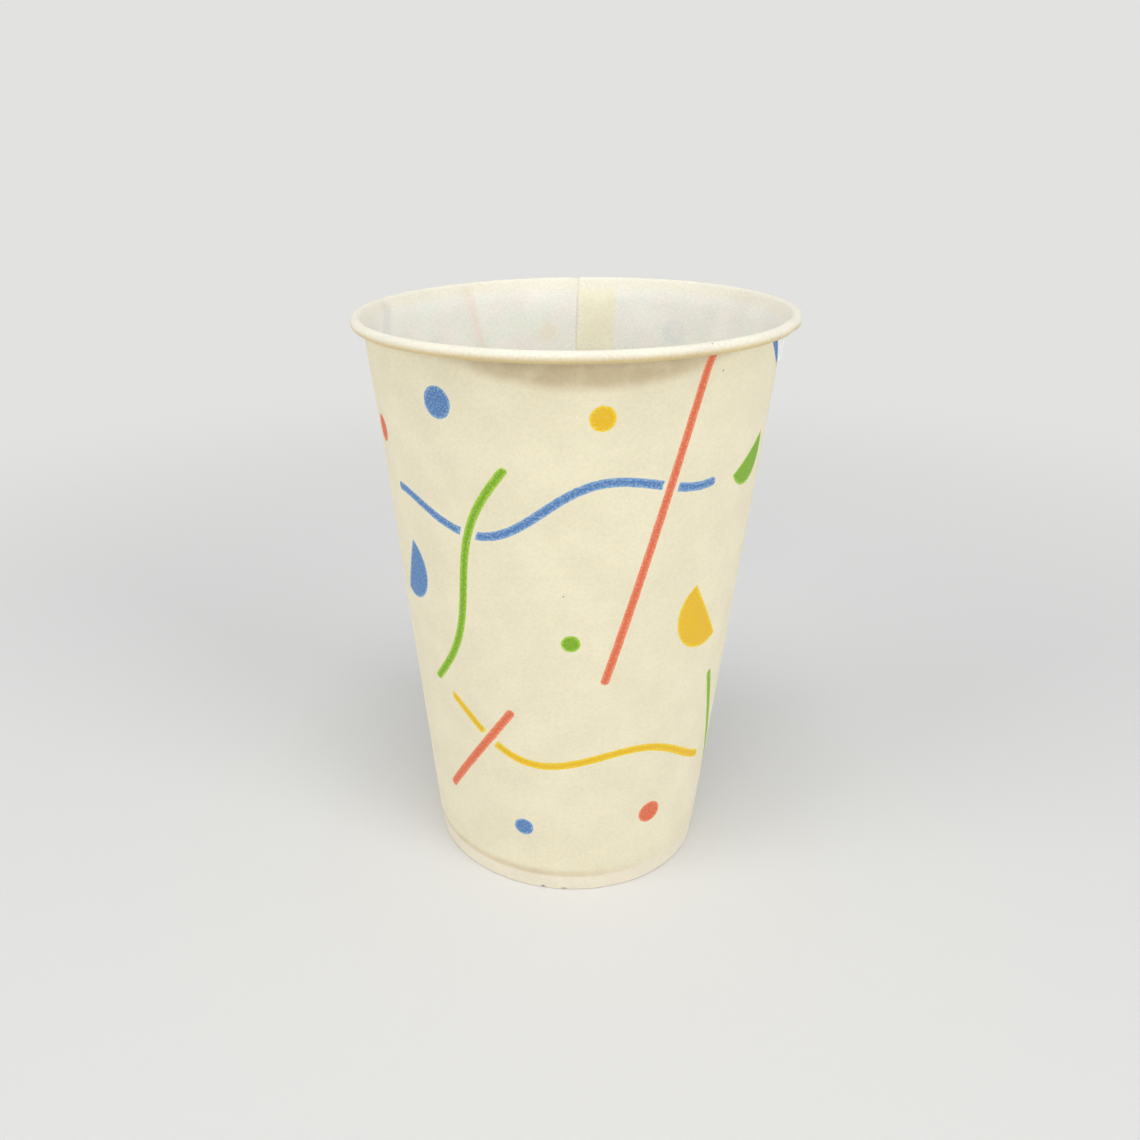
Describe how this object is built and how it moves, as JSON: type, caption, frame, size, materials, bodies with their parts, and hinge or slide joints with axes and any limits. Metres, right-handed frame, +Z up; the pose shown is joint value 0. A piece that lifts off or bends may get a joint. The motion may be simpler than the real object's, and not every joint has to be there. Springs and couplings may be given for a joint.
{
  "type": "paper cup",
  "caption": "Tapered paper drinking cup with a rolled rim, a glued back seam, a folded-in hem round the bottom disc, and a small dent under the rim.",
  "frame": {"origin": "centre of the foot, on the surface that the cup stands on", "axes": "+Z up along the cup's axis; +Y from the axis to the middle of the side seam at the back; +X to the right, towards the dent"},
  "size_m": [0.0824, 0.0825, 0.1112],
  "materials": {
    "printed_paper": "satin",
    "plain_paper": "satin"
  },
  "bodies": {
    "root": {"side_wall": "printed_paper", "bottom_disc": "plain_paper"}
  },
  "joints": []
}
